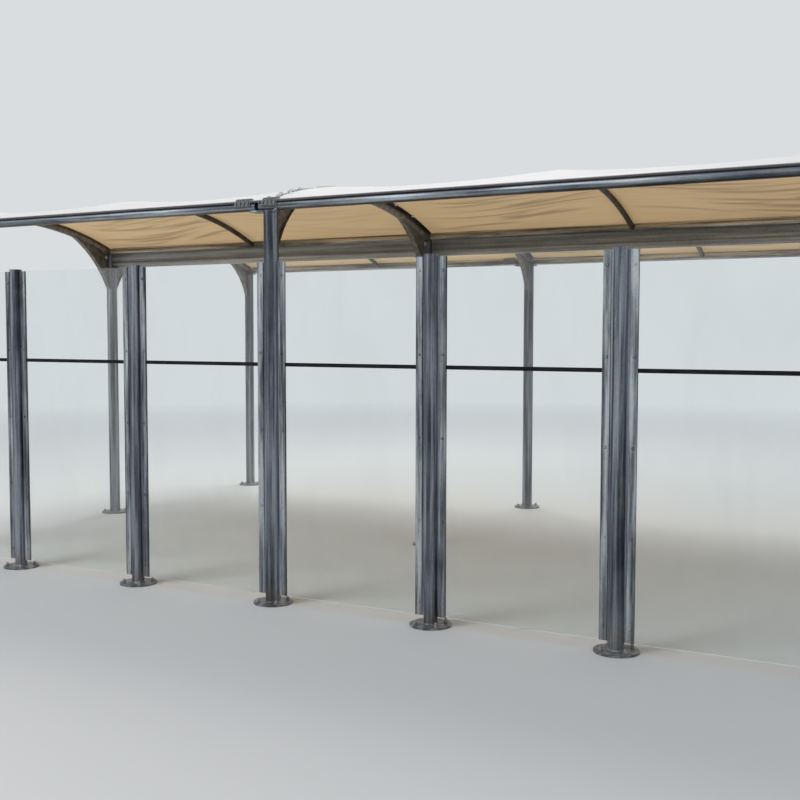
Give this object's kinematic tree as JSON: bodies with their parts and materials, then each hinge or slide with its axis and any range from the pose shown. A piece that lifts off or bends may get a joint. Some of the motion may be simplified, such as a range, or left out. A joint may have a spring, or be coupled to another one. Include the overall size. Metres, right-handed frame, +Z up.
{
  "type": "bus shelter",
  "caption": "Walk-through bus shelter: side-by-side tensioned fabric vaults over laced steel arches on round posts, with a clamped glass screen along the front.",
  "frame": {"origin": "on the ground under the middle of the roof, below the valley", "axes": "+X along the glass screen, +Y from the screen to the open back row, +Z up"},
  "size_m": [7.465, 4.945, 2.9148],
  "materials": {
    "galvanised_steel": "hot-dip galvanised, dull, with faint vertical streaks",
    "membrane": "white coated fabric, matt, slightly translucent",
    "screen_glass": "clear toughened glass",
    "strip_rubber": "matt black glazing strip"
  },
  "bodies": {
    "root": {"front_post_left": "galvanised_steel", "front_post_centre": "galvanised_steel", "front_post_right": "galvanised_steel", "valley_post_left": "galvanised_steel", "valley_post_centre": "galvanised_steel", "valley_post_right": "galvanised_steel", "back_post_left": "galvanised_steel", "back_post_centre": "galvanised_steel", "back_post_right": "galvanised_steel", "screen_post_1": "galvanised_steel", "screen_post_2": "galvanised_steel", "screen_post_3": "galvanised_steel", "screen_post_4": "galvanised_steel", "lower_pane_1": "screen_glass", "upper_pane_1": "screen_glass", "lower_pane_2": "screen_glass", "upper_pane_2": "screen_glass", "lower_pane_3": "screen_glass", "upper_pane_3": "screen_glass", "lower_pane_4": "screen_glass", "upper_pane_4": "screen_glass", "lower_pane_5": "screen_glass", "upper_pane_5": "screen_glass", "lower_pane_6": "screen_glass", "upper_pane_6": "screen_glass", "joint_strips": "strip_rubber", "front_clamps": "galvanised_steel", "rear_clamps": "galvanised_steel", "front_valley_tubes": "galvanised_steel", "front_eave_tube_left": "galvanised_steel", "front_rib_left": "galvanised_steel", "front_canopy_left": "membrane", "front_eave_tube_right": "galvanised_steel", "front_rib_right": "galvanised_steel", "front_canopy_right": "membrane", "front_arch_left": "galvanised_steel", "front_arch_centre": "galvanised_steel", "front_arch_right": "galvanised_steel", "back_valley_tubes": "galvanised_steel", "back_eave_tube_left": "galvanised_steel", "back_rib_left": "galvanised_steel", "back_canopy_left": "membrane", "back_eave_tube_right": "galvanised_steel", "back_rib_right": "galvanised_steel", "back_canopy_right": "membrane", "back_arch_left": "galvanised_steel", "back_arch_centre": "galvanised_steel", "back_arch_right": "galvanised_steel", "valley_gutter_left": "galvanised_steel", "valley_gutter_right": "galvanised_steel"}
  },
  "joints": []
}
